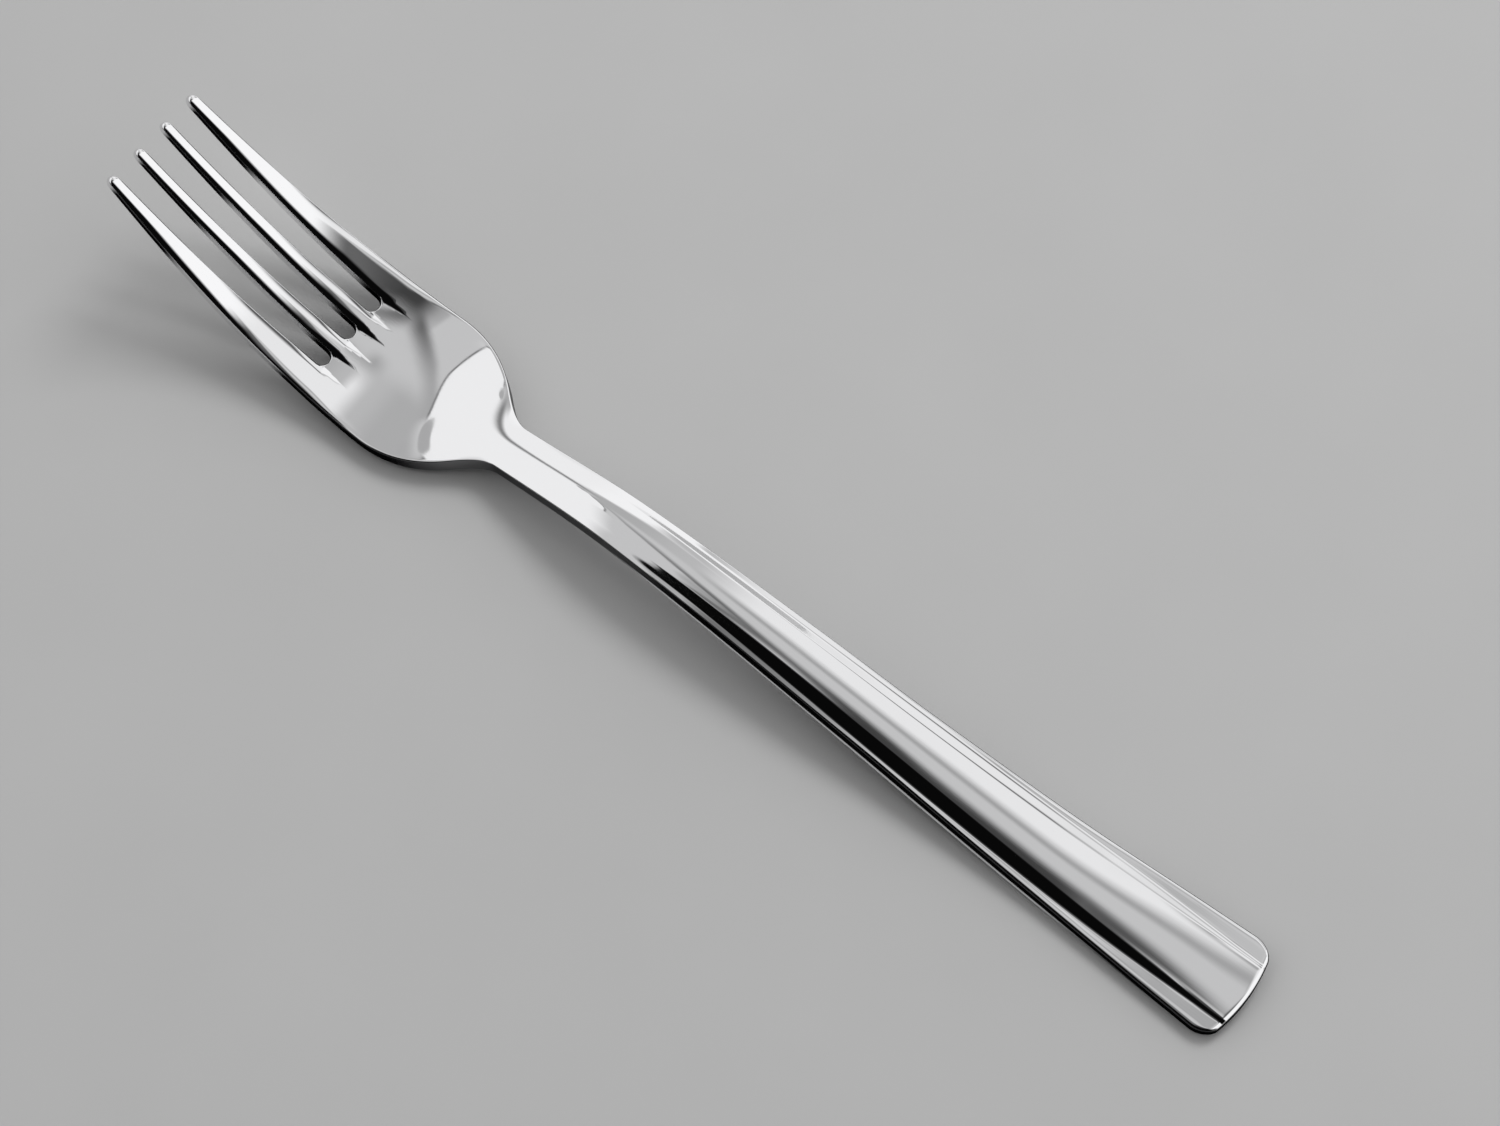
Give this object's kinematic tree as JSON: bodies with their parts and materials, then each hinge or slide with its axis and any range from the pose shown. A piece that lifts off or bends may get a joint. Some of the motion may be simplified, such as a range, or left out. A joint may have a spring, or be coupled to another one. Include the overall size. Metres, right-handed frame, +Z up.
{
  "type": "cake fork",
  "caption": "Small polished steel table fork with even tines, a shallow dished head, a slim crowned neck and a handle with a raised centre band, for eating cake.",
  "frame": {"origin": "centre of the fork's box at table level, as it lies on a table with its tines up", "axes": "+Y from the butt of the handle to the tine tips, +Z up, +X to the right when looking towards the tines"},
  "size_m": [0.0192, 0.155, 0.0178],
  "materials": {
    "polished_steel": "mirror-polished stainless steel with fine polishing lines and light use scratches"
  },
  "bodies": {
    "root": {"handle": "polished_steel", "neck": "polished_steel", "head": "polished_steel", "tine_outer_left": "polished_steel", "tine_inner_left": "polished_steel", "tine_inner_right": "polished_steel", "tine_outer_right": "polished_steel"}
  },
  "joints": []
}
